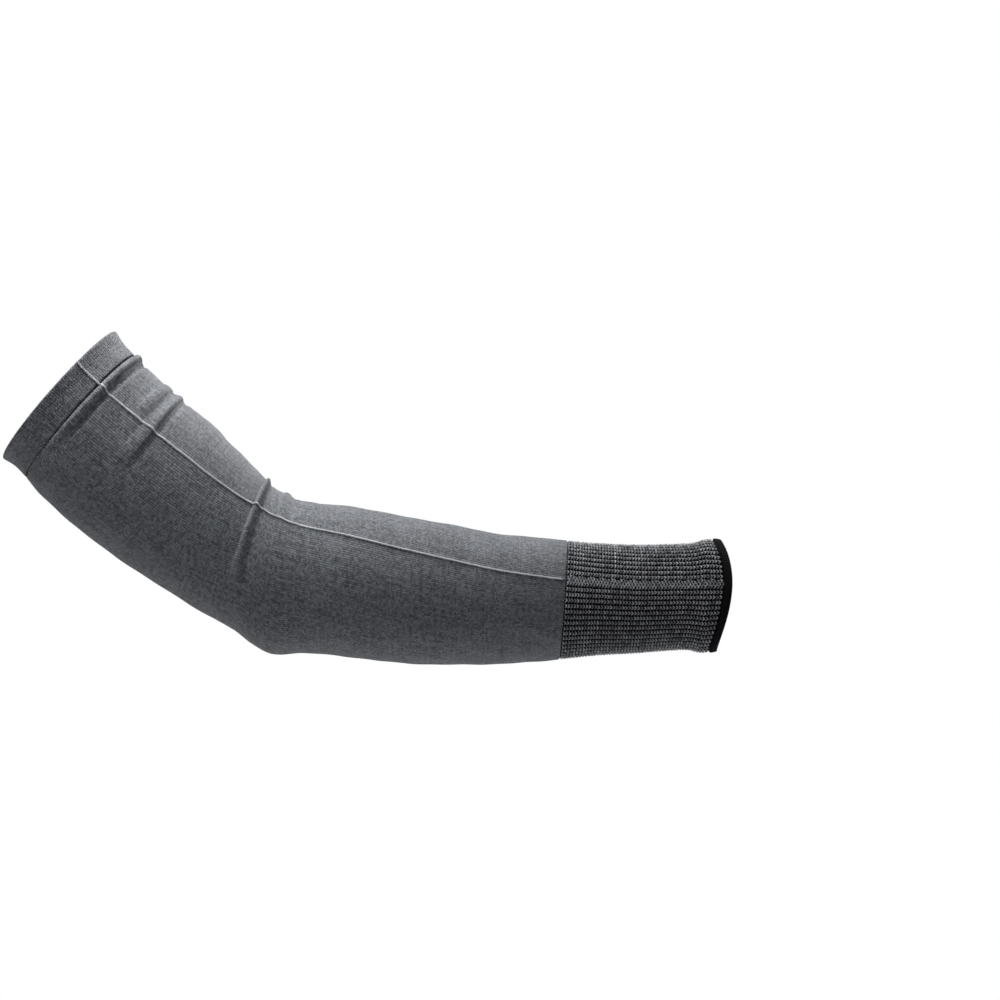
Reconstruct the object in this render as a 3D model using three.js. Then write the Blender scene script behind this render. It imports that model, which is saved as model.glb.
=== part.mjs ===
// Cut resistant sleeve: one knitted tube for an arm, with the bend of the elbow that it has when it is worn.
// Millimetres. The origin is the centre of the upper arm opening, X runs towards the wrist, Z is up and
// the near side is -Y. Angles round the tube are in degrees: 0 is the near side, 90 the top, 270 the bottom.
import * as THREE from "three";

// Lengths of the four pieces along the middle line of the tube
const HEM_LENGTH = 20;
const BODY_LENGTH = 350;
const CUFF_LENGTH = 95;
const EDGING_WIDTH = 5;

// Heights across the tube, which the sections take their shares of
const UPPER_ARM_HEIGHT = 107;
const ELBOW_HEIGHT = 104;
const FOREARM_HEIGHT = 98;
const WRIST_HEIGHT = 69.5;

// Walls, and the gap that two pieces keep where they are knitted or sewn together
const HEM_WALL = 3;
const BODY_WALL = 1.8;
const CUFF_WALL = 2.6;
const EDGING_WALL = 3.4;
const SEAM_GAP = 0.3;

// Raised side line, knitted in one with the tube
const SIDE_LINE_WIDTH = 2.4;
const SIDE_LINE_RISE = 0.8;

// The highest fold, in the crook of the elbow
const FOLD_HEIGHT = 2.7;
const FOLD_WIDTH = 5;

// Ribs of the cuff, and how far the wrist edge reaches past its top and bottom at its sides. It reaches
// furthest at this many degrees above the near and far side.
const RIB_COUNT = 58;
const RIB_DEPTH = 1;
const WRIST_BOW = 7.5;
const WRIST_BOW_ANGLE = 13;

// Grid of the knitted faces
const TUBE_COLUMNS = 36;
const BODY_ROW_PITCH = 14;
const INNER_ROW_PITCH = 20;

// Each piece's place along the middle line
const HEM = { start: 0, length: HEM_LENGTH };
const BODY = { start: HEM.start + HEM.length, length: BODY_LENGTH };
const CUFF = { start: BODY.start + BODY.length, length: CUFF_LENGTH };
const EDGING = { start: CUFF.start + CUFF.length, length: EDGING_WIDTH };

// Sections of the tube. at: share of the piece's length. height: share of the named size across.
// depth: share of the section's height. lean: degrees that its top leans towards the wrist.
// course: degrees below level that the middle line takes on its way here from the row before.
const SECTIONS = [
  { on: HEM, at: 0, across: UPPER_ARM_HEIGHT, height: 1.03, depth: 0.88, lean: 41.2, course: 45 },
  { on: HEM, at: 0.48, across: UPPER_ARM_HEIGHT, height: 0.988, depth: 0.88, lean: 41.4, course: 45 },
  { on: HEM, at: 1, across: UPPER_ARM_HEIGHT, height: 0.988, depth: 0.88, lean: 41.4, course: 46.2 },
  { on: BODY, at: 0.04, across: UPPER_ARM_HEIGHT, height: 1, depth: 0.88, lean: 41.8, course: 48.2 },
  { on: BODY, at: 0.108, across: UPPER_ARM_HEIGHT, height: 0.998, depth: 0.88, lean: 42.1, course: 42.3 },
  { on: BODY, at: 0.19, across: UPPER_ARM_HEIGHT, height: 0.988, depth: 0.88, lean: 40.5, course: 39.6 },
  { on: BODY, at: 0.268, across: UPPER_ARM_HEIGHT, height: 0.953, depth: 0.87, lean: 34.9, course: 38.2 },
  { on: BODY, at: 0.344, across: UPPER_ARM_HEIGHT, height: 0.921, depth: 0.84, lean: 25.3, course: 36.8 },
  { on: BODY, at: 0.408, across: ELBOW_HEIGHT, height: 0.944, depth: 0.81, lean: 13.3, course: 34.2 },
  { on: BODY, at: 0.439, across: ELBOW_HEIGHT, height: 0.977, depth: 0.79, lean: 8.4, course: 40 },
  { on: BODY, at: 0.468, across: ELBOW_HEIGHT, height: 1, depth: 0.78, lean: 4.7, course: 26 },
  { on: BODY, at: 0.522, across: FOREARM_HEIGHT, height: 0.994, depth: 0.82, lean: 1.9, course: 9.2 },
  { on: BODY, at: 0.598, across: FOREARM_HEIGHT, height: 1.002, depth: 0.86, lean: 1.1, course: 4.6 },
  { on: BODY, at: 0.691, across: FOREARM_HEIGHT, height: 0.972, depth: 0.87, lean: 1.6, course: 8.8 },
  { on: BODY, at: 0.784, across: FOREARM_HEIGHT, height: 0.926, depth: 0.86, lean: 1.6, course: 6.3 },
  { on: BODY, at: 0.877, across: FOREARM_HEIGHT, height: 0.866, depth: 0.84, lean: 1.7, course: 5.1 },
  { on: BODY, at: 0.949, across: WRIST_HEIGHT, height: 1.164, depth: 0.81, lean: 2.8, course: 1.3 },
  { on: CUFF, at: 0, across: WRIST_HEIGHT, height: 1.112, depth: 0.79, lean: 3.8, course: 0.2 },
  { on: CUFF, at: 0.228, across: WRIST_HEIGHT, height: 1.053, depth: 0.76, lean: 2.5, course: -0.9 },
  { on: CUFF, at: 0.508, across: WRIST_HEIGHT, height: 1.016, depth: 0.75, lean: 1.6, course: -0.7 },
  { on: CUFF, at: 0.78, across: WRIST_HEIGHT, height: 0.997, depth: 0.74, lean: 1.6, course: -2.9 },
  { on: CUFF, at: 0.868, across: WRIST_HEIGHT, height: 1.007, depth: 0.74, lean: 2, course: -1.8 },
  { on: CUFF, at: 0.947, across: WRIST_HEIGHT, height: 1.06, depth: 0.73, lean: 2.5, course: -2 },
  { on: CUFF, at: 1, across: WRIST_HEIGHT, height: 1.05, depth: 0.73, lean: 1.5, course: -3 },
  { on: EDGING, at: 1, across: WRIST_HEIGHT, height: 1.03, depth: 0.73, lean: 1.5, course: -3 },
];

// Where the side line lies round the tube. angle: degrees up from the near side.
const SIDE_LINE = [
  { on: HEM, at: 0, angle: 28 },
  { on: BODY, at: 0.108, angle: 32 },
  { on: BODY, at: 0.268, angle: 34 },
  { on: BODY, at: 0.43, angle: 45 },
  { on: BODY, at: 0.522, angle: 43 },
  { on: BODY, at: 0.598, angle: 38 },
  { on: BODY, at: 0.691, angle: 35 },
  { on: BODY, at: 0.877, angle: 27 },
  { on: CUFF, at: 0, angle: 21 },
  { on: CUFF, at: 0.45, angle: 16.5 },
  { on: CUFF, at: 1, angle: 12.7 },
];

// Folds of the body, crest by crest. at: share of the body's length. shift: the same share, that the
// crest has moved by where it passes the near side. rise: share of FOLD_HEIGHT. width and drop: shares
// of FOLD_WIDTH before and after the crest. valley: share of FOLD_HEIGHT. ends: degrees up from the
// near side where it has faded out. inside: share of the fold that the wall's inner face takes.
const FOLDS = [
  { at: 0.0085, shift: 0, rise: 0.8, width: 0.52, drop: 0.55, valley: 0.12, ends: -14, inside: 0.45 },
  { at: 0.021, shift: 0, rise: 0.2, width: 0.35, drop: 0.4, valley: 0, ends: 20, inside: 0 },
  { at: 0.085, shift: 0, rise: 0.36, width: 0.8, drop: 0.7, valley: 0.12, ends: 30, inside: 0 },
  { at: 0.112, shift: 0.028, rise: 0.48, width: 0.9, drop: 0.6, valley: 0.16, ends: -12, inside: 0.35 },
  { at: 0.207, shift: 0.012, rise: 0.3, width: 2.2, drop: 2.2, valley: 0, ends: 15, inside: 0 },
  { at: 0.408, shift: -0.013, rise: 1, width: 1.05, drop: 0.6, valley: 0.22, ends: -22, inside: 0.55 },
  { at: 0.477, shift: -0.012, rise: 0.4, width: 0.7, drop: 0.6, valley: 0.1, ends: 32, inside: 0 },
  { at: 0.524, shift: 0, rise: 0.26, width: 1.3, drop: 1.2, valley: 0, ends: 45, inside: 0 },
];

// Degrees over which a fold fades out, and the centre of its valley in half-widths past the crest
const FADE_ANGLE = 38;
const VALLEY_PLACE = 1.9;

const radians = THREE.MathUtils.degToRad;
const smooth = THREE.MathUtils.smoothstep;

// A row's distance from the upper arm opening along the middle line
function distance(row) {
  return row.on.start + row.at * row.on.length;
}

// The middle line, worked out row by row from the courses
let previous = null;
for (const row of SECTIONS) {
  const step = previous ? distance(row) - distance(previous) : 0;
  row.x = previous ? previous.x + step * Math.cos(radians(row.course)) : 0;
  row.z = previous ? previous.z - step * Math.sin(radians(row.course)) : 0;
  row.half = (row.across * row.height) / 2;
  previous = row;
}

// The value of a table's column at a distance, on a smooth curve through its rows
function along(table, column, reach) {
  const last = table.length - 1;
  let i = table.findIndex((row) => distance(row) > reach);
  if (i === 0) i = 1;
  if (i < 0) i = last;
  const slope = (k) => {
    const before = table[Math.max(k - 1, 0)];
    const after = table[Math.min(k + 1, last)];
    return (after[column] - before[column]) / (distance(after) - distance(before));
  };
  const from = table[i - 1];
  const to = table[i];
  const span = distance(to) - distance(from);
  const t = (reach - distance(from)) / span;
  if (t > 1) return to[column] + slope(i) * (reach - distance(to));
  const ease = t * t * (3 - 2 * t);
  const leave = t * (1 - t) * (1 - t) * span * slope(i - 1);
  const arrive = t * t * (t - 1) * span * slope(i);
  return from[column] * (1 - ease) + to[column] * ease + leave + arrive;
}

// A smooth hump, 1 in the middle and 0 from one half-width outwards
function hump(offset) {
  return Math.abs(offset) < 1 ? (1 + Math.cos(Math.PI * offset)) / 2 : 0;
}

// 1 at the given degrees above the near and far side of the tube, and 0 a quarter turn from there
function sideways(angle, above) {
  const up = Math.asin(Math.sin(radians(angle)));
  return Math.cos(up - radians(above)) ** 2;
}

// How far the folds lift the knit at a row and an angle
function foldRise(reach, angle, inner) {
  const up = Math.asin(Math.sin(radians(angle))) / radians(1);
  let rise = 0;
  for (const fold of FOLDS) {
    const part = inner ? fold.inside : 1;
    const offset = reach - BODY.start - fold.at * BODY.length;
    const half = FOLD_WIDTH * (offset < 0 ? fold.width : fold.drop);
    const low = fold.drop * FOLD_WIDTH;
    const crest = fold.rise * hump(offset / half);
    const valley = fold.valley * hump((offset - VALLEY_PLACE * low) / low);
    rise += part * FOLD_HEIGHT * (crest - valley) * smooth(up, fold.ends, fold.ends + FADE_ANGLE);
  }
  return rise;
}

// A shift of the tube's sides along it. by: millimetres. above: degrees above the near and far side.
const UNSHIFTED = { by: 0, above: 0 };

// How far the folds' crests have moved along the body where they pass the near or far side
function foldShift(reach) {
  const stops = [{ at: 0, shift: 0 }, ...FOLDS, { at: 1, shift: 0 }];
  const share = (reach - BODY.start) / BODY.length;
  const i = Math.max(1, stops.findIndex((stop) => stop.at >= share));
  if (share >= 1) return UNSHIFTED;
  const part = (share - stops[i - 1].at) / (stops[i].at - stops[i - 1].at);
  return { by: THREE.MathUtils.lerp(stops[i - 1].shift, stops[i].shift, part) * BODY.length, above: 0 };
}

// The side columns' share of the wrist's bow, which grows from nothing at the start of the cuff
function bowShift(reach) {
  const share = THREE.MathUtils.clamp((reach - CUFF.start) / CUFF.length, 0, 1);
  return { by: WRIST_BOW * share * share, above: WRIST_BOW_ANGLE };
}

// A point of the tube. turn: degrees from the side line. step: millimetres from it.
// inset: depth below the outer face of the smooth tube, so folds and ribs have a negative one.
function place(reach, shift, turn, step, inset) {
  const radius = along(SECTIONS, "half", reach);
  const side = along(SIDE_LINE, "angle", Math.min(reach, EDGING.start));
  const angle = side + turn + step / radius / radians(1);
  const there = reach + shift.by * sideways(angle, shift.above);
  const half = along(SECTIONS, "half", there);
  const deep = half * along(SECTIONS, "depth", there);
  const lean = radians(along(SECTIONS, "lean", there));
  const sine = Math.sin(radians(angle));
  const cosine = Math.cos(radians(angle));
  const normal = new THREE.Vector2(sine / half, cosine / deep).normalize();
  const high = half * sine - inset(angle) * normal.x;
  const near = deep * cosine - inset(angle) * normal.y;
  return new THREE.Vector3(
    along(SECTIONS, "x", there) + high * Math.sin(lean),
    -near,
    along(SECTIONS, "z", there) + high * Math.cos(lean),
  );
}

// A closed ring of knit: its profile runs out along the outer face and back along the inner one,
// and is repeated at each column round the tube.
function knitRing(name, profile, columns, shape, material) {
  const points = [];
  const faces = [];
  profile.forEach((row, i) => {
    columns.forEach((column, j) => {
      const point = shape(row, column);
      points.push(point.x, point.y, point.z);
      const nextRow = ((i + 1) % profile.length) * columns.length;
      const nextColumn = (j + 1) % columns.length;
      const a = i * columns.length + j;
      const b = i * columns.length + nextColumn;
      const c = nextRow + nextColumn;
      const d = nextRow + j;
      faces.push(a, c, b, a, d, c);
    });
  });
  const geometry = new THREE.BufferGeometry();
  geometry.setAttribute("position", new THREE.Float32BufferAttribute(points, 3));
  geometry.setIndex(faces);
  geometry.computeVertexNormals();
  const mesh = new THREE.Mesh(geometry, material);
  mesh.name = name;
  return mesh;
}

// The columns of a plain tube: the side line's foot, crest and foot, and the rest evenly spaced
function tubeColumns() {
  const columns = [
    { turn: 0, step: -SIDE_LINE_WIDTH / 2, rise: 0 },
    { turn: 0, step: 0, rise: 1 },
    { turn: 0, step: SIDE_LINE_WIDTH / 2, rise: 0 },
  ];
  for (let i = 1; i < TUBE_COLUMNS; i += 1) {
    columns.push({ turn: (360 * i) / TUBE_COLUMNS, step: 0, rise: 0 });
  }
  return columns;
}

// One end of a wall, from its outer face round to its inner one. inward: 1 at a start, -1 at an end.
// round: how far the end is rounded along the piece, or 0 where it is cut square.
function wallEnd(reach, inward, wall, round) {
  const back = reach + inward * round;
  const shoulder = reach + inward * round * 0.3;
  if (round === 0) {
    return [
      { reach, inset: 0, face: "outer" },
      { reach, inset: wall, face: "inner" },
    ];
  }
  return [
    { reach: back, inset: 0, face: "outer" },
    { reach: shoulder, inset: wall * 0.14, face: "outer" },
    { reach, inset: wall * 0.42, face: "edge" },
    { reach: shoulder, inset: wall * 0.72, face: "edge" },
    { reach: back, inset: wall, face: "inner" },
  ];
}

// A closed profile of a wall: the rows of its outer face, its end, its inner face and its start
function wallProfile(outer, inner, start, end, wall, round) {
  const front = outer.map((reach) => ({ reach, inset: 0, face: "outer" }));
  const back = inner.map((reach) => ({ reach, inset: wall, face: "inner" })).reverse();
  const finish = wallEnd(end, -1, wall, round.end);
  const origin = wallEnd(start, 1, wall, round.start).reverse();
  return [...front, ...finish, ...back, ...origin];
}

// Evenly spaced distances between two ends, without the ends themselves
function evenly(start, end, count) {
  return Array.from({ length: count - 1 }, (_, i) => start + ((end - start) * (i + 1)) / count);
}

const SQUARE = { start: 0, end: 0 };
const sides = { columns: tubeColumns() };
const sideRise = (column) => column.rise * SIDE_LINE_RISE;

const greyKnit = new THREE.MeshStandardMaterial({ color: 0x74777c, roughness: 0.88, metalness: 0 });
const marlRib = new THREE.MeshStandardMaterial({ color: 0x45464a, roughness: 0.9, metalness: 0 });
const blackElastic = new THREE.MeshStandardMaterial({ color: 0x0d0d0e, roughness: 0.85, metalness: 0 });

// Upper hem: the knit folded back inside on itself and sewn down, with a round rim
function upperHem() {
  const end = HEM.start + HEM.length - SEAM_GAP / 2;
  const round = { start: HEM_WALL * 0.6, end: HEM_WALL * 0.25 };
  const rows = evenly(HEM.start + round.start, end - round.end, 4);
  const profile = wallProfile(rows, rows.slice(1, 2), HEM.start, end, HEM_WALL, round);
  const shape = (row, column) => {
    const rise = row.face === "outer" ? sideRise(column) : 0;
    return place(row.reach, UNSHIFTED, column.turn, column.step, () => row.inset - rise);
  };
  return knitRing("upper_hem", profile, sides.columns, shape, greyKnit);
}

// Rows of the body: an even pitch, and the feet, flanks and crest of each fold in place of what is near it
function bodyRows(start, end, folds, pitch) {
  const rows = [];
  for (const fold of folds) {
    const crest = BODY.start + fold.at * BODY.length;
    const steps = [-fold.width, -fold.width / 2, 0, fold.drop / 2, fold.drop];
    if (fold.valley) steps.push(VALLEY_PLACE * fold.drop, (VALLEY_PLACE + 1) * fold.drop);
    rows.push(...steps.map((step) => crest + step * FOLD_WIDTH));
  }
  const folded = [...rows];
  const clear = (reach) => folded.every((row) => Math.abs(row - reach) > pitch / 2);
  rows.push(...evenly(start, end, Math.round((end - start) / pitch)).filter(clear));
  const least = FOLD_WIDTH / 8;
  rows.sort((a, b) => a - b);
  const apart = (row, i) => i === 0 || row - rows[i - 1] > least;
  return rows.filter((row, i) => row > start + least && row < end - least && apart(row, i));
}

// Sleeve body: the fine grey knit from the hem over the elbow to the wrist
function sleeveBody() {
  const start = BODY.start + SEAM_GAP / 2;
  const end = BODY.start + BODY.length - SEAM_GAP / 2;
  const outer = bodyRows(start, end, FOLDS, BODY_ROW_PITCH);
  const deepFolds = FOLDS.filter((fold) => fold.inside > 0);
  const inner = bodyRows(start, end, deepFolds, INNER_ROW_PITCH);
  const profile = wallProfile(outer, inner, start, end, BODY_WALL, SQUARE);
  const shape = (row, column) => {
    const inside = row.face !== "outer";
    const rise = inside ? 0 : sideRise(column);
    const inset = (angle) => row.inset - rise - foldRise(row.reach, angle, inside);
    return place(row.reach, foldShift(row.reach), column.turn, column.step, inset);
  };
  return knitRing("sleeve_body", profile, sides.columns, shape, greyKnit);
}

// Rib cuff: ribs along the wrist, with the two ribs at the side line merged into one broad column
function ribCuff() {
  const start = CUFF.start + SEAM_GAP / 2;
  const end = CUFF.start + CUFF.length - SEAM_GAP / 2;
  const columns = [];
  for (let i = 0; i < 2 * RIB_COUNT; i += 1) {
    const valley = i % 2 === 0 && i > 0;
    columns.push({ turn: (360 * i) / (2 * RIB_COUNT), step: 0, valley: valley ? 1 : 0 });
  }
  const rows = [0.25, 0.5, 0.72, 0.86, 0.945].map((share) => CUFF.start + share * CUFF.length);
  const profile = wallProfile(rows, [rows[1], rows[3]], start, end, CUFF_WALL, SQUARE);
  const shape = (row, column) => {
    const cut = row.face === "outer" ? column.valley * RIB_DEPTH : 0;
    return place(row.reach, bowShift(row.reach), column.turn, column.step, () => row.inset + cut);
  };
  return knitRing("rib_cuff", profile, columns, shape, marlRib);
}

// Wrist edging: the elastic band that binds the end of the cuff
function wristEdging() {
  const start = EDGING.start + SEAM_GAP / 2;
  const end = EDGING.start + EDGING.length;
  const round = { start: EDGING_WALL * 0.25, end: EDGING_WALL * 0.35 };
  const rows = evenly(start + round.start, end - round.end, 2);
  const profile = wallProfile(rows, rows, start, end, EDGING_WALL, round);
  const proud = (EDGING_WALL - CUFF_WALL) / 2;
  const shape = (row, column) => {
    const inset = () => row.inset - proud;
    return place(row.reach, bowShift(row.reach), column.turn, column.step, inset);
  };
  return knitRing("wrist_edging", profile, sides.columns, shape, blackElastic);
}

const sleeve = new THREE.Group();
sleeve.add(upperHem(), sleeveBody(), ribCuff(), wristEdging());

export default sleeve;
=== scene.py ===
"""Cut resistant sleeve: the looks of the knitted arm sleeve, in metres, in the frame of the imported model."""
from math import atan, pi, radians

import bmesh
import bpy
import numpy as np
from mathutils import Matrix, Vector


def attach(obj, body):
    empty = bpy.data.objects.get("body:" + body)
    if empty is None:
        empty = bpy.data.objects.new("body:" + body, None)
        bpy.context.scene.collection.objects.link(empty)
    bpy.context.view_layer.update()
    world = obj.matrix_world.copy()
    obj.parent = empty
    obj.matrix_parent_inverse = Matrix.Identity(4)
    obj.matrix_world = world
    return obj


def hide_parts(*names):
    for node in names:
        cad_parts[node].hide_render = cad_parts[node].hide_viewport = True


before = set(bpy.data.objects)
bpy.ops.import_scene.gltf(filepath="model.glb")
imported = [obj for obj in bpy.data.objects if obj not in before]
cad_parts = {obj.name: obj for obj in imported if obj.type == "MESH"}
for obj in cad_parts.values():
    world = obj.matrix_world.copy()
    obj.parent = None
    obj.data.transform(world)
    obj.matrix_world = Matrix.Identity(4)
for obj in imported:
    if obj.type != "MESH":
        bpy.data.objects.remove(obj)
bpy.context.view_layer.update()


# Camera: level with the middle of the picture. Its distance of two metres is a guess. A pixel of the
# 1000 pixel picture is 0.648 mm wide at the sleeve's middle plane, estimated from the size of the arm.
PIXEL = 0.000648
PICTURE_PIXELS = 1000
ARM_OPENING_PIXEL = (59.2, 394.5)
CAMERA_DISTANCE = 2.0
camera = bpy.data.objects.new("studio_camera", bpy.data.cameras.new("studio_camera"))
camera.data.angle = 2 * atan(PIXEL * PICTURE_PIXELS / 2 / CAMERA_DISTANCE)
camera.location = (
    (PICTURE_PIXELS / 2 - ARM_OPENING_PIXEL[0]) * PIXEL,
    -CAMERA_DISTANCE,
    (ARM_OPENING_PIXEL[1] - PICTURE_PIXELS / 2) * PIXEL,
)
camera.rotation_euler = (radians(90), 0, 0)
bpy.context.collection.objects.link(camera)
bpy.context.scene.camera = camera
bpy.context.scene.view_settings.view_transform = "Standard"


# Nodes are placed by one short call each. An input given a socket is linked, any other value is set.
def add_node(tree, kind, inputs=None, **settings):
    made = tree.nodes.new(kind)
    for name, value in settings.items():
        setattr(made, name, value)
    for name, value in (inputs or {}).items():
        if isinstance(value, bpy.types.NodeSocket):
            tree.links.new(value, made.inputs[name])
        else:
            made.inputs[name].default_value = value
    return made


# Studio: a white surround that only the camera sees as white, a pale round floor well below the
# sleeve, one wide soft light above and a little behind it, and weak soft panels behind and in front.
FLOOR_HEIGHT = -0.95
FLOOR_RADIUS = 2.6
FLOOR_MIDDLE = 0.22
FLOOR_COLOUR = (0.86, 0.86, 0.86, 1)
FILL_COLOUR = (0.80, 0.86, 0.96, 1)
FILL_STRENGTH = 0.09
world = bpy.data.worlds.new("white_surround")
world.use_nodes = True
bpy.context.scene.world = world
world.node_tree.nodes.clear()
seen = add_node(world.node_tree, "ShaderNodeBackground", {"Color": (1, 1, 1, 1), "Strength": 1.0})
lit = add_node(world.node_tree, "ShaderNodeBackground", {"Color": FILL_COLOUR, "Strength": FILL_STRENGTH})
ray = add_node(world.node_tree, "ShaderNodeLightPath")
surround = add_node(world.node_tree, "ShaderNodeMixShader", {0: ray.outputs["Is Camera Ray"]})
world.node_tree.links.new(lit.outputs[0], surround.inputs[1])
world.node_tree.links.new(seen.outputs[0], surround.inputs[2])
add_node(world.node_tree, "ShaderNodeOutputWorld", {"Surface": surround.outputs[0]})

bm = bmesh.new()
bmesh.ops.create_circle(bm, cap_ends=True, segments=96, radius=FLOOR_RADIUS)
bmesh.ops.translate(bm, verts=bm.verts, vec=(FLOOR_MIDDLE, 0, FLOOR_HEIGHT))
floor_mesh = bpy.data.meshes.new("studio_floor")
bm.to_mesh(floor_mesh)
bm.free()
studio_floor = bpy.data.objects.new("studio_floor", floor_mesh)
bpy.context.collection.objects.link(studio_floor)
floor_paint = bpy.data.materials.new("pale_floor")
floor_paint.use_nodes = True
floor_paint.node_tree.nodes.clear()
spots = add_node(floor_paint.node_tree, "ShaderNodeTexCoord")
cloud = {"Vector": spots.outputs["Object"], "Scale": 3.0}
cloud = add_node(floor_paint.node_tree, "ShaderNodeTexNoise", cloud)
dull = {"Value": cloud.outputs[0], "To Min": 0.6, "To Max": 0.75}
dull = add_node(floor_paint.node_tree, "ShaderNodeMapRange", dull)
paint = {"Base Color": FLOOR_COLOUR, "Roughness": dull.outputs[0]}
cover = add_node(floor_paint.node_tree, "ShaderNodeBsdfPrincipled", paint)
glow = add_node(floor_paint.node_tree, "ShaderNodeEmission", {"Color": (1, 1, 1, 1), "Strength": 0.95})
ray = add_node(floor_paint.node_tree, "ShaderNodeLightPath").outputs["Is Camera Ray"]
share = add_node(floor_paint.node_tree, "ShaderNodeMath", {0: ray, 1: 0.85}, operation="MULTIPLY")
sweep = add_node(floor_paint.node_tree, "ShaderNodeMixShader", {0: share.outputs[0]})
floor_paint.node_tree.links.new(cover.outputs[0], sweep.inputs[1])
floor_paint.node_tree.links.new(glow.outputs[0], sweep.inputs[2])
add_node(floor_paint.node_tree, "ShaderNodeOutputMaterial", {"Surface": sweep.outputs[0]})
floor_mesh.materials.append(floor_paint)

# Each light: place, the point it faces, width and length in metres, power in watts, spread in degrees
LIGHTS = {
    "top_softbox": ((0.1, 0.25, 1.4), (0.2, 0, -0.1), 1.6, 1.0, 38, 180),
    "rear_panel": ((0.2, 2.2, 0.2), (0.2, 0, -0.1), 2.6, 2.2, 12, 180),
    "upper_arm_softbox": ((-0.2, -0.3, 0.75), (0.03, 0, 0), 0.4, 0.3, 0.42, 42),
    "front_panel": ((0.3, -2.6, 0.6), (0.2, 0, -0.1), 1.8, 1.2, 3.2, 180),
}
for name, (spot, target, wide, long, power, spread) in LIGHTS.items():
    light = bpy.data.lights.new(name, "AREA")
    light.shape = "RECTANGLE"
    light.size = wide
    light.size_y = long
    light.energy = power
    light.spread = radians(spread)
    lamp = bpy.data.objects.new(name, light)
    lamp.location = spot
    lamp.rotation_euler = (Vector(target) - Vector(spot)).to_track_quat("-Z", "Y").to_euler()
    lamp.visible_camera = False
    bpy.context.collection.objects.link(lamp)


# Upper hem: the knit is turned back inside on itself round the arm opening and sewn down, so it is two
# layers thick with a round rim. The whole sleeve is one knitted tube, so the form of the tube, on the
# bent arm, is set here: the pieces' lengths along its middle line, its sections and its side line.
HEM_LENGTH = 0.020
BODY_LENGTH = 0.350
CUFF_LENGTH = 0.095
EDGING_WIDTH = 0.005
UPPER_ARM_HEIGHT = 0.107
ELBOW_HEIGHT = 0.104
FOREARM_HEIGHT = 0.098
WRIST_HEIGHT = 0.0695
WRIST_BOW = 0.0075
WRIST_BOW_ANGLE = radians(13)
HEM = (0.0, HEM_LENGTH)
BODY = (HEM[0] + HEM[1], BODY_LENGTH)
CUFF = (BODY[0] + BODY[1], CUFF_LENGTH)
EDGING = (CUFF[0] + CUFF[1], EDGING_WIDTH)
# Columns: piece, share of its length, height across, share of that height, depth as a share of the
# height, degrees that the top leans towards the wrist, degrees below level of the way from the row before
SECTIONS = [
    (HEM, 0.00, UPPER_ARM_HEIGHT, 1.030, 0.88, 41.2, 45.0),
    (HEM, 0.48, UPPER_ARM_HEIGHT, 0.988, 0.88, 41.4, 45.0),
    (HEM, 1.00, UPPER_ARM_HEIGHT, 0.988, 0.88, 41.4, 46.2),
    (BODY, 0.040, UPPER_ARM_HEIGHT, 1.000, 0.88, 41.8, 48.2),
    (BODY, 0.108, UPPER_ARM_HEIGHT, 0.998, 0.88, 42.1, 42.3),
    (BODY, 0.190, UPPER_ARM_HEIGHT, 0.988, 0.88, 40.5, 39.6),
    (BODY, 0.268, UPPER_ARM_HEIGHT, 0.953, 0.87, 34.9, 38.2),
    (BODY, 0.344, UPPER_ARM_HEIGHT, 0.921, 0.84, 25.3, 36.8),
    (BODY, 0.408, ELBOW_HEIGHT, 0.944, 0.81, 13.3, 34.2),
    (BODY, 0.439, ELBOW_HEIGHT, 0.977, 0.79, 8.4, 40.0),
    (BODY, 0.468, ELBOW_HEIGHT, 1.000, 0.78, 4.7, 26.0),
    (BODY, 0.522, FOREARM_HEIGHT, 0.994, 0.82, 1.9, 9.2),
    (BODY, 0.598, FOREARM_HEIGHT, 1.002, 0.86, 1.1, 4.6),
    (BODY, 0.691, FOREARM_HEIGHT, 0.972, 0.87, 1.6, 8.8),
    (BODY, 0.784, FOREARM_HEIGHT, 0.926, 0.86, 1.6, 6.3),
    (BODY, 0.877, FOREARM_HEIGHT, 0.866, 0.84, 1.7, 5.1),
    (BODY, 0.949, WRIST_HEIGHT, 1.164, 0.81, 2.8, 1.3),
    (CUFF, 0.000, WRIST_HEIGHT, 1.112, 0.79, 3.8, 0.2),
    (CUFF, 0.228, WRIST_HEIGHT, 1.053, 0.76, 2.5, -0.9),
    (CUFF, 0.508, WRIST_HEIGHT, 1.016, 0.75, 1.6, -0.7),
    (CUFF, 0.780, WRIST_HEIGHT, 0.997, 0.74, 1.6, -2.9),
    (CUFF, 0.868, WRIST_HEIGHT, 1.007, 0.74, 2.0, -1.8),
    (CUFF, 0.947, WRIST_HEIGHT, 1.060, 0.73, 2.5, -2.0),
    (CUFF, 1.000, WRIST_HEIGHT, 1.050, 0.73, 1.5, -3.0),
    (EDGING, 1.00, WRIST_HEIGHT, 1.030, 0.73, 1.5, -3.0),
]
# Columns: piece, share of its length, degrees of the side line above the near side
SIDE_LINE = [
    (HEM, 0.0, 28), (BODY, 0.108, 32), (BODY, 0.268, 34), (BODY, 0.385, 38.5), (BODY, 0.435, 43.5),
    (BODY, 0.522, 43), (BODY, 0.598, 38), (BODY, 0.691, 35), (BODY, 0.877, 27), (CUFF, 0.0, 21),
    (CUFF, 0.45, 16.5), (CUFF, 1.0, 12.7),
]


def distances(table):
    return np.array([row[0][0] + row[1] * row[0][1] for row in table])


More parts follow.
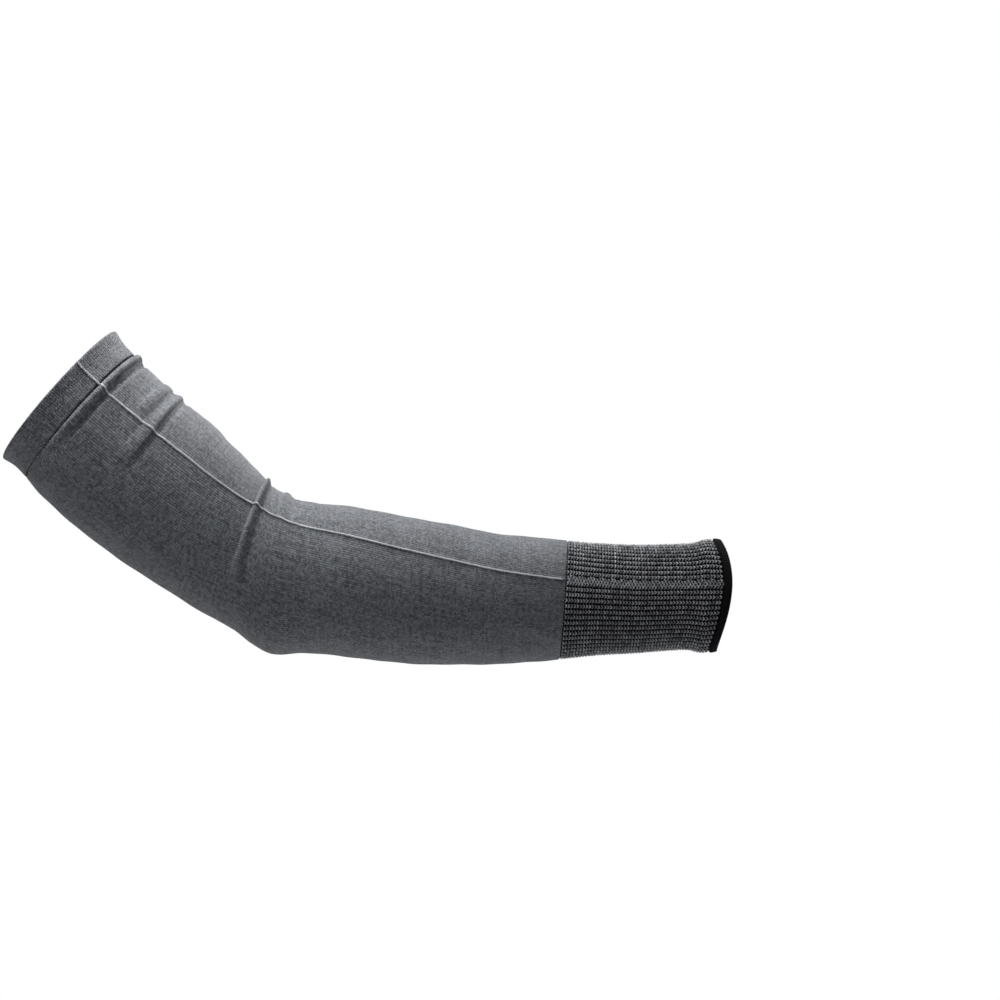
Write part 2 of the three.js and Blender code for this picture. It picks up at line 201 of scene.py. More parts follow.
# A smooth curve through a table's values, read at the distances along the tube
def on_curve(at, values, reach):
    slopes = np.gradient(values)
    slopes[1:-1] = (values[2:] - values[:-2]) / (at[2:] - at[:-2])
    slopes[0] = (values[1] - values[0]) / (at[1] - at[0])
    slopes[-1] = (values[-1] - values[-2]) / (at[-1] - at[-2])
    i = np.clip(np.searchsorted(at, reach, side="right"), 1, len(at) - 1)
    span = at[i] - at[i - 1]
    t = np.clip((reach - at[i - 1]) / span, 0, 1)
    ease = t * t * (3 - 2 * t)
    bend = t * (1 - t) ** 2 * span * slopes[i - 1] + t * t * (t - 1) * span * slopes[i]
    past = reach - np.clip(reach, at[0], at[-1])
    beyond = past * np.where(past > 0, slopes[-1], slopes[0])
    return values[i - 1] * (1 - ease) + values[i] * ease + bend + beyond


SECTION_AT = distances(SECTIONS)
STEPS = np.diff(SECTION_AT, prepend=0)
COURSES = np.radians([row[6] for row in SECTIONS])
MIDDLE_X = np.cumsum(STEPS * np.cos(COURSES))
MIDDLE_Z = -np.cumsum(STEPS * np.sin(COURSES))
HALF_HEIGHTS = np.array([row[2] * row[3] / 2 for row in SECTIONS])
DEPTHS = np.array([row[4] for row in SECTIONS])
LEANS = np.radians([row[5] for row in SECTIONS])
SIDE_AT = distances(SIDE_LINE)
SIDE_ANGLES = np.radians([row[2] for row in SIDE_LINE])


# The angle of a wale: share is the part of the way round, down from the side line. Wales are evenly
# spaced along the knit, so they are a little closer in angle on the flat sides of the arm.
def wale_angle(share, reach):
    side = on_curve(SIDE_AT, SIDE_ANGLES, np.clip(reach, 0, SIDE_AT[-1]))
    flat = (1 - on_curve(SECTION_AT, DEPTHS, reach)) / 4
    even = side + flat * np.sin(2 * side) - 2 * pi * share
    return even - flat * np.sin(2 * even)


# Points of the tube at an angle, a distance along it and a height out from its smooth outer face. The
# sides of the tube may be shifted along it, most at an angle above the near and far side.
def tube_points(angle, reach, out, shift=0.0, above=0.0):
    there = reach + shift * np.cos(np.arcsin(np.sin(angle)) - above) ** 2
    half = on_curve(SECTION_AT, HALF_HEIGHTS, there)
    deep = half * on_curve(SECTION_AT, DEPTHS, there)
    lean = on_curve(SECTION_AT, LEANS, there)
    up, near = np.sin(angle) / half, np.cos(angle) / deep
    size = np.hypot(up, near)
    high = half * np.sin(angle) + out * up / size
    side = deep * np.cos(angle) + out * near / size
    x = on_curve(SECTION_AT, MIDDLE_X, there) + high * np.sin(lean)
    z = on_curve(SECTION_AT, MIDDLE_Z, there) + high * np.cos(lean)
    return np.stack([x, -side, z], 1)


# A flat piece of knit: wales across it, and rows of (distance along the tube, height out, length of knit)
def flat_knit(name, wales, rows):
    bm = bmesh.new()
    bmesh.ops.create_grid(bm, x_segments=len(wales) - 1, y_segments=len(rows) - 1, size=1)
    mesh = bpy.data.meshes.new(name)
    bm.to_mesh(mesh)
    bm.free()
    flat = read_points(mesh)
    i = np.rint((flat[:, 0] + 1) / 2 * (len(wales) - 1)).astype(int)
    j = np.rint((flat[:, 1] + 1) / 2 * (len(rows) - 1)).astype(int)
    return mesh, np.asarray(wales)[i], np.asarray(rows)[j]


def read_points(mesh):
    points = np.empty(len(mesh.vertices) * 3)
    mesh.vertices.foreach_get("co", points)
    return points.reshape(-1, 3)


# The knit is wrapped round the tube: its points are set, its UV map counts wales and courses, and
# the two sides of the flat piece are joined where they meet on the far side of the arm.
def wrap_knit(mesh, points, wales, courses):
    mesh.vertices.foreach_set("co", points.ravel())
    corners = np.empty(len(mesh.loops), dtype=int)
    mesh.loops.foreach_get("vertex_index", corners)
    layer = mesh.uv_layers.new(name="knit")
    layer.data.foreach_set("uv", np.stack([wales, courses], 1)[corners].ravel())
    bm = bmesh.new()
    bm.from_mesh(mesh)
    bmesh.ops.remove_doubles(bm, verts=bm.verts, dist=1e-6)
    bm.to_mesh(mesh)
    bm.free()
    mesh.polygons.foreach_set("use_smooth", np.ones(len(mesh.polygons), dtype=bool))
    mesh.update()


def add_piece(mesh, material, node, wall=0.0):
    piece = bpy.data.objects.new(mesh.name, mesh)
    bpy.context.collection.objects.link(piece)
    mesh.materials.append(material)
    if wall:
        thick = piece.modifiers.new("wall", "SOLIDIFY")
        thick.thickness = wall
        thick.offset = -1
    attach(piece, "root")
    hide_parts(node)
    return piece


def maths(tree, operation, a, b=0.0, c=0.0):
    return add_node(tree, "ShaderNodeMath", {0: a, 1: b, 2: c}, operation=operation).outputs[0]


# A node group with named inputs and outputs, each given with its kind of socket
def new_group(name, inputs, outputs):
    tree = bpy.data.node_groups.new(name, "ShaderNodeTree")
    for way, sockets in (("INPUT", inputs), ("OUTPUT", outputs)):
        for socket, kind in sockets.items():
            tree.interface.new_socket(socket, in_out=way, socket_type="NodeSocket" + kind)
    return tree, add_node(tree, "NodeGroupInput").outputs


LOOK = {"Tone": "Float", "Roughness": "Float", "Normal": "Vector"}


# Grey knit: a fine single knit of grey yarn with paler and darker fibres, so its stitches are
# flecked. Streaks run along the wales where the yarn is thicker, and single courses are paler.
def make_knit_look():
    tree, given = new_group("knit_look", {"Knit": "Vector", "Bump": "Float"}, LOOK)
    knit = given["Knit"]
    count = add_node(tree, "ShaderNodeSeparateXYZ", {0: knit})
    wale, course = count.outputs[0], count.outputs[1]
    # Each wale is a column of V stitches, with a groove between it and the next
    off_middle = maths(tree, "ABSOLUTE", maths(tree, "SUBTRACT", maths(tree, "FRACT", wale), 0.5))
    groove = maths(tree, "POWER", maths(tree, "MULTIPLY", off_middle, 2.0), 3.0)
    slanted = maths(tree, "ADD", off_middle, course)
    off_stitch = maths(tree, "ABSOLUTE", maths(tree, "SUBTRACT", maths(tree, "FRACT", slanted), 0.5))
    gap = maths(tree, "POWER", maths(tree, "MULTIPLY", off_stitch, 2.0), 2.0)
    round_wale = maths(tree, "MULTIPLY", maths(tree, "SUBTRACT", 1.0, groove), 0.66)
    height = maths(tree, "MULTIPLY_ADD", maths(tree, "SUBTRACT", 1.0, gap), 0.34, round_wale)
    cell = {0: maths(tree, "FLOOR", wale), 1: maths(tree, "FLOOR", slanted)}
    cell = add_node(tree, "ShaderNodeCombineXYZ", cell).outputs[0]
    stitch = add_node(tree, "ShaderNodeTexWhiteNoise", {"Vector": cell}, noise_dimensions="2D")
    long_streak = add_node(tree, "ShaderNodeMapping", {"Vector": knit, "Scale": (0.9, 0.04, 1)}).outputs[0]
    streak = add_node(tree, "ShaderNodeTexNoise", {"Vector": long_streak, "Scale": 1.0, "Detail": 2.0})
    cross_streak = add_node(tree, "ShaderNodeMapping", {"Vector": knit, "Scale": (0.03, 0.85, 1)}).outputs[0]
    paler = add_node(tree, "ShaderNodeTexNoise", {"Vector": cross_streak, "Scale": 1.0, "Detail": 2.0})
    spot = add_node(tree, "ShaderNodeTexCoord").outputs["Object"]
    fibre = add_node(tree, "ShaderNodeTexNoise", {"Vector": spot, "Scale": 1300.0, "Detail": 3.0})
    cloud = add_node(tree, "ShaderNodeTexNoise", {"Vector": spot, "Scale": 14.0, "Detail": 3.0})
    tone = maths(tree, "MULTIPLY_ADD", stitch.outputs["Value"], 0.46, -0.80)
    tone = maths(tree, "MULTIPLY_ADD", streak.outputs[0], 0.60, tone)
    tone = maths(tree, "MULTIPLY_ADD", paler.outputs[0], 0.42, tone)
    tone = maths(tree, "MULTIPLY_ADD", fibre.outputs[0], 0.95, tone)
    tone = maths(tree, "MULTIPLY_ADD", cloud.outputs[0], 0.12, tone)
    # Painted shade: the colour is darkened in the grooves between the wales, where shade falls in them
    tone = maths(tree, "MULTIPLY_ADD", groove, -0.46, tone)
    relief = maths(tree, "MULTIPLY_ADD", fibre.outputs[0], 0.25, height)
    normal = {"Height": relief, "Strength": given["Bump"], "Distance": 0.0004}
    normal = add_node(tree, "ShaderNodeBump", normal).outputs[0]
    rough = add_node(tree, "ShaderNodeMapRange", {"Value": fibre.outputs[0], "To Min": 0.78, "To Max": 0.95})
    add_node(tree, "NodeGroupOutput", {"Tone": tone, "Roughness": rough.outputs[0], "Normal": normal})
    return tree


# A yarn's material: its look's tone goes from its dark fibres to its pale ones
def make_yarn(name, look, dark, pale, sheen, **strengths):
    material = bpy.data.materials.new(name)
    material.use_nodes = True
    tree = material.node_tree
    tree.nodes.clear()
    knit = add_node(tree, "ShaderNodeUVMap", uv_map="knit").outputs[0]
    yarn = add_node(tree, "ShaderNodeGroup", {"Knit": knit, **strengths}, node_tree=look).outputs
    colour = add_node(tree, "ShaderNodeMix", data_type="RGBA")
    tree.links.new(yarn["Tone"], colour.inputs[0])
    colour.inputs["A"].default_value = dark
    colour.inputs["B"].default_value = pale
    surface = {"Base Color": colour.outputs["Result"]}
    surface.update({"Roughness": yarn["Roughness"], "Normal": yarn["Normal"]})
    cloth = add_node(tree, "ShaderNodeBsdfPrincipled", surface)
    cloth.inputs["Sheen Weight"].default_value = sheen
    cloth.inputs["Sheen Roughness"].default_value = 0.5
    cloth.inputs["Specular IOR Level"].default_value = 0.25
    add_node(tree, "ShaderNodeOutputMaterial", {"Surface": cloth.outputs[0]})
    return material


knit_look = make_knit_look()
dark_grey, pale_grey = (0.052, 0.055, 0.061, 1), (0.31, 0.325, 0.35, 1)
grey_knit = make_yarn("grey_knit", knit_look, dark_grey, pale_grey, 0.35, Bump=0.75)

WALES = 192
COURSE_PITCH = 0.0012
SEAM_GAP = 0.0003
HEM_THICKNESS = 0.003
HEM_LAYER = 0.00135
SEAM_DIP = 0.0013
SIDE_RISE = 0.00055

# Wales where the grid has a column: every 1.2 wales, and much closer on the side line
fine = np.array([-2.4, -1.8, -1.3, -0.9, -0.55, -0.25, 0, 0.25, 0.55, 0.9, 1.3, 1.8, 2.4])
even = np.arange(1, WALES / 2 / 1.2) * 1.2 + 2.4
even = even[even < WALES / 2 - 0.4]
body_wales = np.concatenate([[-WALES / 2], -even[::-1], fine, even, [WALES / 2]])


# Raised rib along the side line, as a height for each wale off it
def side_rise(wales):
    return SIDE_RISE * np.exp(-((wales / 0.75) ** 2))


# The groove where the hem is sewn down
def seam_dip(reach):
    return SEAM_DIP * np.exp(-(((reach - HEM_LENGTH) / 0.0007) ** 2))


roll = HEM_THICKNESS / 2
turns = np.linspace(-pi / 2, pi / 2, 12)
inside = np.linspace(HEM_LENGTH - 0.001, roll, 16, endpoint=False)
outside = np.linspace(HEM_LENGTH - SEAM_GAP / 2, roll, 24, endpoint=False)[::-1]
hem_rows = [(reach, -HEM_THICKNESS, roll - roll * pi / 2 - reach) for reach in inside]
hem_rows += [(roll - roll * np.cos(t), roll * np.sin(t) - roll, roll * t) for t in turns]
hem_rows += [(reach, 0.0, roll * pi / 2 + reach - roll) for reach in outside]
hem_mesh, wales, rows = flat_knit("upper_hem_knit", body_wales, hem_rows)
angles = wale_angle(wales / WALES, rows[:, 0])
outer = rows[:, 1] > -roll
hem_out = rows[:, 1] + np.where(outer, side_rise(wales) - seam_dip(rows[:, 0]), 0)
wrap_knit(hem_mesh, tube_points(angles, rows[:, 0], hem_out), wales, rows[:, 2] / COURSE_PITCH)
add_piece(hem_mesh, grey_knit, "upper_hem", HEM_LAYER)


# Copies of one small shape laid out flat, across and along, by two array modifiers
def lay_out(name, mesh, across, along, counts):
    holder = bpy.data.objects.new(name, mesh)
    bpy.context.collection.objects.link(holder)
    for step, count in zip((across, along), counts):
        array = holder.modifiers.new("array", "ARRAY")
        array.count = count
        array.use_relative_offset = False
        array.use_constant_offset = True
        array.constant_offset_displace = step
    made = bpy.data.meshes.new_from_object(holder.evaluated_get(bpy.context.evaluated_depsgraph_get()))
    bpy.data.objects.remove(holder)
    made.name = name
    return made


def yarn_leg(bm, middle, turn, size, sides=6, rings=5):
    matrix = Matrix.Translation(middle) @ Matrix.Rotation(turn, 4, "Z") @ Matrix.Diagonal((*size, 1))
    bmesh.ops.create_uvsphere(bm, u_segments=sides, v_segments=rings, radius=1, matrix=matrix)


# Thick yarn or thread: one tone for each stitch, and flecks where paler fibres are spun in
def make_fleck_look():
    inputs = {"Knit": "Vector", "Fleck Scale": "Float", "Bump": "Float"}
    tree, given = new_group("fleck_look", inputs, LOOK)
    count = add_node(tree, "ShaderNodeSeparateXYZ", {0: given["Knit"]})
    cell = {0: maths(tree, "FLOOR", count.outputs[0]), 1: maths(tree, "FLOOR", count.outputs[1])}
    cell = add_node(tree, "ShaderNodeCombineXYZ", cell).outputs[0]
    stitch = add_node(tree, "ShaderNodeTexWhiteNoise", {"Vector": cell}, noise_dimensions="2D")
    spot = add_node(tree, "ShaderNodeTexCoord").outputs["Object"]
    fleck = {"Vector": spot, "Scale": given["Fleck Scale"], "Detail": 3.0}
    fleck = add_node(tree, "ShaderNodeTexNoise", fleck).outputs[0]
    cloud = add_node(tree, "ShaderNodeTexNoise", {"Vector": spot, "Scale": 40.0, "Detail": 2.0})
    sharp = add_node(tree, "ShaderNodeMapRange", {"Value": fleck, "From Min": 0.36, "From Max": 0.64})
    tone = maths(tree, "MULTIPLY_ADD", stitch.outputs["Value"], 0.45, -0.10)
    tone = maths(tree, "MULTIPLY_ADD", sharp.outputs[0], 0.50, tone)
    tone = maths(tree, "MULTIPLY_ADD", cloud.outputs[0], 0.25, tone)
    normal = {"Height": fleck, "Strength": given["Bump"], "Distance": 0.0002}
    normal = add_node(tree, "ShaderNodeBump", normal).outputs[0]
    rough = add_node(tree, "ShaderNodeMapRange", {"Value": fleck, "To Min": 0.7, "To Max": 0.95})
    add_node(tree, "NodeGroupOutput", {"Tone": tone, "Roughness": rough.outputs[0], "Normal": normal})
    return tree


fleck_look = make_fleck_look()


# Seam: the turned edge of the hem is sewn down in the groove. The stitches in the groove are coloured near
# black, partly as black thread and partly as painted shade of the gap between the hem's edge and the body.
SEAM_STITCHES = 120
SEAM_STITCH_SIZE = (0.00030, 0.47, 0.00035)
SEAM_STITCH_SINK = 0.00055
# Painted shade: the seam stitches get these near-black colours to stand for the shade in the gap at the hem
black_thread_and_seam_shade, seam_shade_fleck = (0.001, 0.001, 0.0015, 1), (0.008, 0.008, 0.009, 1)
fine_fleck = {"Fleck Scale": 1500.0, "Bump": 0.4}
seam_yarn_and_shade = make_yarn("painted_shade_seam_yarn", fleck_look, black_thread_and_seam_shade, seam_shade_fleck, 0.0, **fine_fleck)
stitch = bmesh.new()
yarn_leg(stitch, (0, 0, 0), radians(90), SEAM_STITCH_SIZE)
stitch_mesh = bpy.data.meshes.new("seam_stitch")
stitch.to_mesh(stitch_mesh)
stitch.free()
seam_mesh = lay_out("hem_seam_shade_stitches", stitch_mesh, (1, 0, 0), (0, 0, 0), (SEAM_STITCHES, 1))
flat = read_points(seam_mesh)
seam_reach = flat[:, 1] + HEM_LENGTH
angles = wale_angle((flat[:, 0] + 0.5) / SEAM_STITCHES - 0.5, seam_reach)
points = tube_points(angles, seam_reach, flat[:, 2] - SEAM_STITCH_SINK)
wrap_knit(seam_mesh, points, flat[:, 0], flat[:, 1] / COURSE_PITCH)
add_piece(seam_mesh, seam_yarn_and_shade, "upper_hem")


# Sleeve body: one fine single knit from the hem over the elbow to the wrist. Its folds lie where the
# knit is pushed up in the crook of the elbow and under the hem, and fade out towards the near side.
FOLD_HEIGHT = 0.0027
FOLD_WIDTH = 0.005
BODY_LAYER = 0.0012
FADE_ANGLE = radians(38)
VALLEY_PLACE = 1.9
ROW_PITCH = 0.0017
FINE_ROW_PITCH = 0.0005
FINE_FOLD_RISE = 0.35
LEAST_ROW_PITCH = 0.0003
SETTLE_LENGTH = 0.02
TUCK_LENGTH = 0.0012
TUCK_DEPTH = 0.0005
# Columns: share of the body's length, shift on the near side as the same share, rise as a share of
# FOLD_HEIGHT, widths before and after the crest as shares of FOLD_WIDTH, valley as a share of
# FOLD_HEIGHT, degrees above the near side where it has faded out
FOLDS = [
    (0.0085, 0.000, 0.92, 0.56, 0.62, 0.40, -34),
    (0.0210, 0.000, 0.20, 0.35, 0.40, 0.00, 20),
    (0.0850, 0.000, 0.44, 0.80, 0.70, 0.35, 18),
    (0.1120, 0.016, 0.60, 0.90, 0.65, 0.30, -14),
    (0.2070, 0.012, 0.30, 2.20, 2.20, 0.00, 15),
    (0.4080, -0.013, 0.84, 0.68, 0.62, 0.32, -38),
    (0.4770, -0.012, 0.44, 0.70, 0.60, 0.25, 24),
    (0.5240, 0.000, 0.26, 1.30, 1.20, 0.00, 45),
]


def hump(offset):
    return np.where(np.abs(offset) < 1, (1 + np.cos(pi * offset)) / 2, 0)


# How far the folds lift the knit, and how far their crests have moved along it at the near side
def fold_rise(angle, reach):
    up = np.arcsin(np.sin(angle))
    rise = np.zeros(len(reach))
    for at, _, height, before, after, valley, ends in FOLDS:
        offset = reach - BODY[0] - at * BODY[1]
        half = FOLD_WIDTH * np.where(offset < 0, before, after)
        low = FOLD_WIDTH * after
        round_top = np.clip(1 - (offset / half) ** 2, 0, 1) ** 0.8
        crest = height * round_top - valley * hump((offset - VALLEY_PLACE * low) / low)
        fade = np.clip((up - radians(ends)) / FADE_ANGLE, 0, 1)
        rise += FOLD_HEIGHT * crest * fade * fade * (3 - 2 * fade)
    return rise


def fold_shift(reach):
    places = [0] + [fold[0] for fold in FOLDS] + [1]
    shifts = [0] + [fold[1] for fold in FOLDS] + [0]
    return BODY[1] * np.interp((reach - BODY[0]) / BODY[1], places, shifts)


# Slight unevenness of the worn knit, from a few long waves round and along the tube
def unevenness(angle, reach):
    wave = np.sin(reach * 61 + 2 * angle) + 0.7 * np.sin(reach * 143 - 3 * angle + 1)
    return 0.00022 * (wave + 0.5 * np.sin(reach * 290 + 5 * angle + 2) * np.sin(angle))


body_start = BODY[0] + SEAM_GAP / 2
body_end = BODY[0] + BODY[1] - SEAM_GAP / 2
reaches = list(np.arange(body_start, body_end, ROW_PITCH)) + [body_end]
for at, _, height, before, after, _, _ in FOLDS:
    if height > FINE_FOLD_RISE:
        crest = BODY[0] + at * BODY[1]
        fold_start, fold_end = crest - before * FOLD_WIDTH, crest + 3 * after * FOLD_WIDTH
        reaches += list(np.arange(fold_start, fold_end, FINE_ROW_PITCH))
reaches = np.sort([reach for reach in reaches if body_start <= reach <= body_end])
reaches = [reach for i, reach in enumerate(reaches) if i == 0 or reach - reaches[i - 1] > LEAST_ROW_PITCH]
body_mesh, wales, rows = flat_knit("sleeve_body_knit", body_wales, [(reach, 0, reach) for reach in reaches])
angles = wale_angle(wales / WALES, rows[:, 0])
body_out = fold_rise(angles, rows[:, 0]) + side_rise(wales) - seam_dip(rows[:, 0])
settle = np.clip((rows[:, 0] - body_start) / SETTLE_LENGTH, 0, 1)
settle *= np.clip((body_end - rows[:, 0]) / SETTLE_LENGTH, 0, 1)
body_out += settle * unevenness(angles, rows[:, 0])
body_out -= TUCK_DEPTH * np.clip((rows[:, 0] - body_end + TUCK_LENGTH) / TUCK_LENGTH, 0, 1) ** 2
points = tube_points(angles, rows[:, 0], body_out, fold_shift(rows[:, 0]))
wrap_knit(body_mesh, points, wales, rows[:, 2] / COURSE_PITCH)
add_piece(body_mesh, grey_knit, "sleeve_body", BODY_LAYER)


# Side line: a line of tight slanted stitches stands up from the hem to the cuff, knitted in one with
# the tube. It is taken to be the same yarn, pulled tight, so it looks paler than the knit round it.
SIDE_STITCH_PITCH = 0.00115
SIDE_STITCH_HEIGHT = 0.00028
SIDE_STITCH_SIZE = (0.00042, 0.00115, 0.00045)
SIDE_STITCH_SLANT = radians(32)
SIDE_WALE_WIDTH = 0.00165
side_grey, side_white = (0.62, 0.63, 0.64, 1), (1.0, 1.0, 1.0, 1)
side_yarn = make_yarn("side_line_yarn", knit_look, side_grey, side_white, 0.35, Bump=0.3)

side_reach = (roll, CUFF[0] - 0.0008)
side_count = int((side_reach[1] - side_reach[0]) / SIDE_STITCH_PITCH)
stitch = bmesh.new()
yarn_leg(stitch, (0, 0, 0), SIDE_STITCH_SLANT, SIDE_STITCH_SIZE)
bmesh.ops.scale(stitch, verts=stitch.verts, vec=(1 / SIDE_WALE_WIDTH, 1, 1))
stitch_mesh = bpy.data.meshes.new("side_stitch")
stitch.to_mesh(stitch_mesh)
stitch.free()
side_mesh = lay_out("side_line_stitches", stitch_mesh, (1, 0, 0), (0, SIDE_STITCH_PITCH, 0), (1, side_count))
flat = read_points(side_mesh)
side_y = flat[:, 1] + side_reach[0]
angles = wale_angle(flat[:, 0] / WALES, side_y)
side_z = SIDE_STITCH_HEIGHT + flat[:, 2] + side_rise(flat[:, 0])
on_body = side_y > BODY[0]
side_z += np.where(on_body, fold_rise(angles, side_y), 0)
side_z -= seam_dip(side_y) * 0.6
points = tube_points(angles, side_y, side_z, np.where(on_body, fold_shift(side_y), 0))
wrap_knit(side_mesh, points, flat[:, 0], side_y / COURSE_PITCH)
add_piece(side_mesh, side_yarn, "sleeve_body")


# Rib cuff: a coarse elastic rib of 58 wales. Black yarn lies in the valleys, and each rib shows the
# slanted legs of stitches in light grey marl yarn. At the side two ribs run together in one column.
RIBS = 58
RIB_COURSE = 0.00188
CUFF_LAYER = 0.0016
RIB_DEPTH = 0.0010
RIB_WIDTH = 0.00335
HUMP_PITCH = 0.0065
RIB_LEG_SIZE = (0.00038, 0.00118, 0.00044)
RIB_LEG_SLANT = radians(43)
RIB_LEG_OFF_MIDDLE = 0.00052
rib_start = CUFF[0] + SEAM_GAP / 2
rib_end = CUFF[0] + CUFF[1] - SEAM_GAP / 2


# Points of the cuff and its edging, whose sides reach further over the wrist than the top and bottom
def cuff_points(angle, reach, out):
    bow = WRIST_BOW * np.clip((reach - CUFF[0]) / CUFF[1], 0, 1) ** 2
    return tube_points(angle, reach, out, bow, WRIST_BOW_ANGLE)


black, black_fleck = (0.002, 0.002, 0.0025, 1), (0.012, 0.012, 0.014, 1)
black_yarn = make_yarn("black_rib_yarn", fleck_look, black, black_fleck, 0.0, **fine_fleck)
marl_dark, marl_pale = (0.040, 0.042, 0.047, 1), (0.80, 0.81, 0.84, 1)
marl_fleck = {"Fleck Scale": 1100.0, "Bump": 0.5}
marl_yarn = make_yarn("grey_marl_yarn", fleck_look, marl_dark, marl_pale, 0.15, **marl_fleck)

ground_ribs = np.linspace(-RIBS / 2, RIBS / 2, RIBS * 5 + 1)
ground_rows = [(reach, 0, reach) for reach in np.linspace(rib_start, rib_end, 70)]
ground_mesh, ribs, rows = flat_knit("rib_cuff_ground", ground_ribs, ground_rows)
angles = wale_angle(ribs / RIBS, rows[:, 0])
valley = np.cos(pi * ribs) ** 2 * np.where(np.abs(ribs) < 0.5, 0.35, 1)
dots = 0.00010 * np.sin(2 * pi * rows[:, 0] / RIB_COURSE)
ground_out = -0.00070 - (RIB_DEPTH - 0.00020) * valley + dots
points = cuff_points(angles, rows[:, 0], ground_out)
wrap_knit(ground_mesh, points, ribs, rows[:, 2] / RIB_COURSE)
add_piece(ground_mesh, black_yarn, "rib_cuff", CUFF_LAYER)

# Each stitch is a V of two legs that meet towards the wrist. Its width is in ribs, its length in metres.
stitch = bmesh.new()
for side in (-1, 1):
    yarn_leg(stitch, (side * RIB_LEG_OFF_MIDDLE, 0, 0), side * RIB_LEG_SLANT, RIB_LEG_SIZE, 5, 4)
bmesh.ops.scale(stitch, verts=stitch.verts, vec=(1 / RIB_WIDTH, 1, 1))
stitch_mesh = bpy.data.meshes.new("rib_stitch")
stitch.to_mesh(stitch_mesh)
stitch.free()
rib_courses = int((rib_end - rib_start) / RIB_COURSE)
marl_mesh = lay_out("rib_cuff_stitches", stitch_mesh, (1, 0, 0), (0, RIB_COURSE, 0), (RIBS, rib_courses))
flat = read_points(marl_mesh)
rib = np.floor(flat[:, 0] + 0.5)
course = np.floor(flat[:, 1] / RIB_COURSE + 0.5)
rng = np.random.default_rng(7)
jitter = rng.normal(0, 1, (RIBS + 2, rib_courses + 3, 3))
own = jitter[rib.astype(int), course.astype(int)]
rib_x = flat[:, 0] - RIBS / 2 + 0.5 + 0.02 * own[:, 0]
rib_y = flat[:, 1] + rib_start + RIB_COURSE / 2 + 0.00006 * own[:, 1]
off_rib = (flat[:, 0] - rib) * RIB_WIDTH / 0.0011
rib_z = flat[:, 2] - 0.00025 - 0.00055 * off_rib**2 + 0.00005 * own[:, 2]
upper_side = (rib_x > -1) & (rib_x < 0)
arch = np.abs(np.sin(pi * (rib_y - rib_start) / HUMP_PITCH))
rib_x = np.where(upper_side, rib_x + 0.16 - 0.42 * arch, rib_x)
angles = wale_angle(rib_x / RIBS, rib_y)
points = cuff_points(angles, rib_y, rib_z)
wrap_knit(marl_mesh, points, rib, course + 0.5)
add_piece(marl_mesh, marl_yarn, "rib_cuff")

# The column of stitches that fills the valley between the two ribs at the side
fill_mesh = lay_out("side_column_stitches", stitch_mesh, (1, 0, 0), (0, RIB_COURSE, 0), (1, rib_courses))
flat = read_points(fill_mesh)
course = np.floor(flat[:, 1] / RIB_COURSE + 0.5)
fill_y = flat[:, 1] + rib_start + RIB_COURSE
arch = np.abs(np.sin(pi * (fill_y - rib_start) / HUMP_PITCH))
angles = wale_angle((flat[:, 0] - 0.10 * arch) / RIBS, fill_y)
points = cuff_points(angles, fill_y, flat[:, 2] - 0.00040)
wrap_knit(fill_mesh, points, flat[:, 0] * 0 + RIBS + 3.5, course + 0.5)
add_piece(fill_mesh, marl_yarn, "rib_cuff")


# One course of paler yarn shows across a few of the upper ribs
PALE_RIBS = (-10, -4)
PALE_COURSE_AT = 0.33
PALE_STITCH_SIZE = (0.00035, 0.36, 0.00035)
stitch = bmesh.new()
yarn_leg(stitch, (0, 0, 0), radians(90), PALE_STITCH_SIZE)
stitch_mesh = bpy.data.meshes.new("pale_stitch")
stitch.to_mesh(stitch_mesh)
stitch.free()
counts = (PALE_RIBS[1] - PALE_RIBS[0] + 1, 1)
pale_mesh = lay_out("pale_course_stitches", stitch_mesh, (1, 0, 0), (0, 0, 0), counts)
flat = read_points(pale_mesh)
pale_y = flat[:, 1] + CUFF[0] + PALE_COURSE_AT * CUFF_LENGTH
angles = wale_angle((flat[:, 0] + PALE_RIBS[0] + 0.5) / RIBS, pale_y)
wrap_knit(pale_mesh, cuff_points(angles, pale_y, flat[:, 2] - 0.0001), flat[:, 0], pale_y)
add_piece(pale_mesh, side_yarn, "rib_cuff")


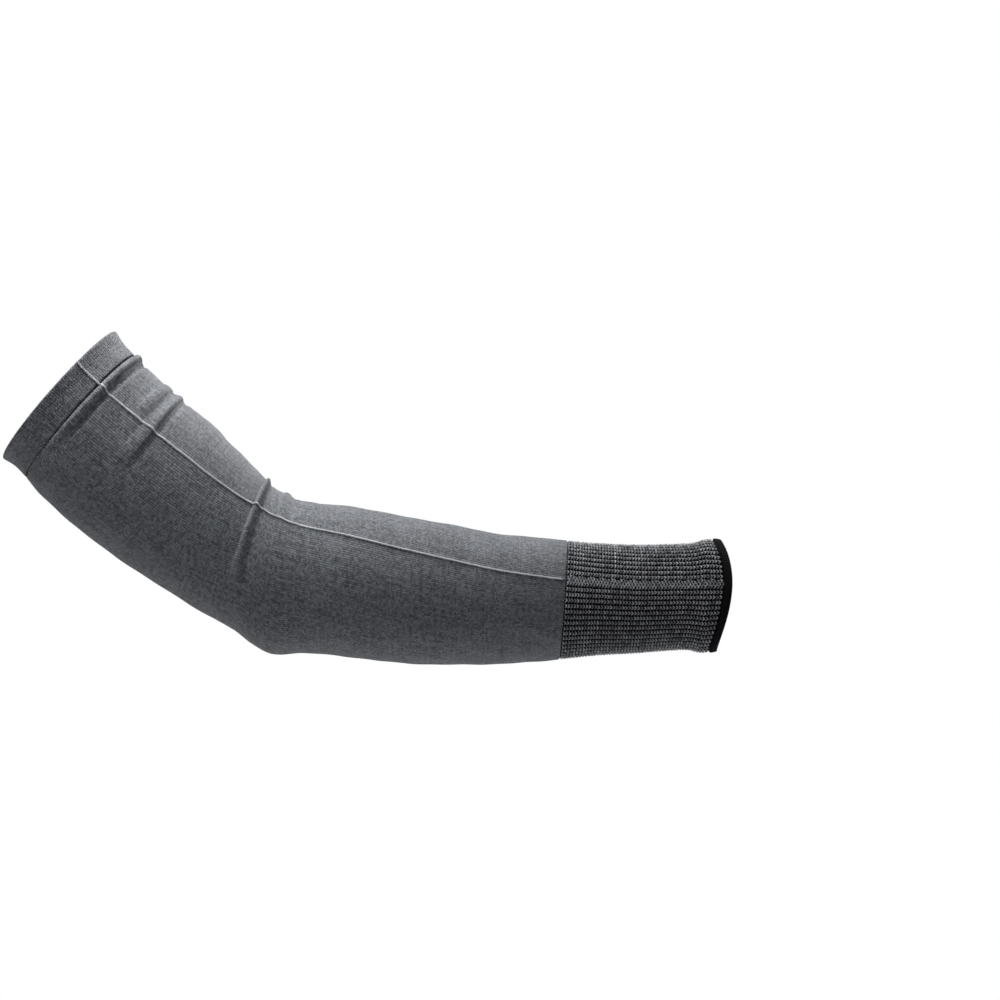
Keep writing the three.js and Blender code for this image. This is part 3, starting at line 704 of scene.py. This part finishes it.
# Wrist edging: the raw end of the cuff is bound with black elastic thread. The binding is a firm round
# band, wrapped all round by slanted turns of the overlock thread.
EDGING_THICKNESS = 0.0034
EDGING_PROUD = 0.0004
EDGE_TURNS = 150
EDGE_TURN_SIZE = (0.00062, 0.0025, 0.0004)
EDGE_TURN_MIDDLE = 0.00245
EDGE_TURN_SLANT = radians(14)
EDGE_TURN_WIDTH = 0.0014
edge_start = EDGING[0] + SEAM_GAP / 2
edge_end = EDGING[0] + EDGING[1]
edging_fleck = {"Fleck Scale": 1200.0, "Bump": 0.4}
edging_pale = (0.006, 0.006, 0.007, 1)
edging_thread = make_yarn("black_edging_thread", fleck_look, black_thread_and_seam_shade, edging_pale, 0.0, **edging_fleck)

band = []
for t in np.linspace(0, 2 * pi, 33):
    along, across = [np.sign(way) * (way**2 + 0.0001) ** 0.3 for way in (np.cos(t), np.sin(t))]
    reach = (edge_start + edge_end) / 2 - along * (edge_end - edge_start) / 2
    out = EDGING_PROUD - EDGING_THICKNESS / 2 + across * EDGING_THICKNESS / 2
    band.append((reach, out, t * EDGING_THICKNESS / 2))
band_columns = np.linspace(-EDGE_TURNS / 2, EDGE_TURNS / 2, EDGE_TURNS + 1)
band_mesh, around, rows = flat_knit("wrist_edging_band", band_columns, band)
angles = wale_angle(around / EDGE_TURNS, rows[:, 0])
points = cuff_points(angles, rows[:, 0], rows[:, 1])
wrap_knit(band_mesh, points, around, rows[:, 2] / COURSE_PITCH)
add_piece(band_mesh, edging_thread, "wrist_edging")

thread = bmesh.new()
yarn_leg(thread, (0, EDGE_TURN_MIDDLE, 0), EDGE_TURN_SLANT, EDGE_TURN_SIZE, 6, 7)
bmesh.ops.scale(thread, verts=thread.verts, vec=(1 / EDGE_TURN_WIDTH, 1, 1))
thread_mesh = bpy.data.meshes.new("edging_turn")
thread.to_mesh(thread_mesh)
thread.free()
turns_mesh = lay_out("wrist_edging_turns", thread_mesh, (1, 0, 0), (0, 0, 0), (EDGE_TURNS, 1))
flat = read_points(turns_mesh)
turn_y = flat[:, 1] + edge_start
angles = wale_angle((flat[:, 0] - EDGE_TURNS / 2 + 0.5) / EDGE_TURNS, turn_y)
points = cuff_points(angles, turn_y, flat[:, 2] + EDGING_PROUD)
wrap_knit(turns_mesh, points, flat[:, 0], turn_y / COURSE_PITCH)
add_piece(turns_mesh, edging_thread, "wrist_edging")
